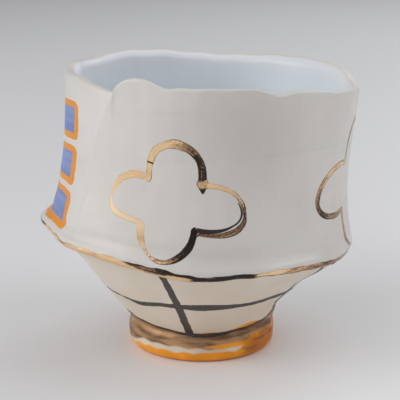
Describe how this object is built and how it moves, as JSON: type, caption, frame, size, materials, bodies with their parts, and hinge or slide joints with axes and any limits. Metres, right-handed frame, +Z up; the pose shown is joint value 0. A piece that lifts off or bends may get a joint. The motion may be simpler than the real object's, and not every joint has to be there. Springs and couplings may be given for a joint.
{
  "type": "footed porcelain cup",
  "caption": "Hand-built porcelain cup on a ring foot, with a flaring base, pinched shoulder ridge, lapped slab wall and wavy rim, painted with gold lustre lines.",
  "frame": {"origin": "middle of the cup's bounding box, on the surface it stands on", "axes": "+Z up; -Y towards the front with the lapped seam and the gold outline; +X to the right of that front"},
  "size_m": [0.1079, 0.1048, 0.099],
  "materials": {
    "porcelain": "satin white glaze with painted gold lustre, black, blue and orange"
  },
  "bodies": {
    "root": {"cup": "porcelain"}
  },
  "joints": []
}
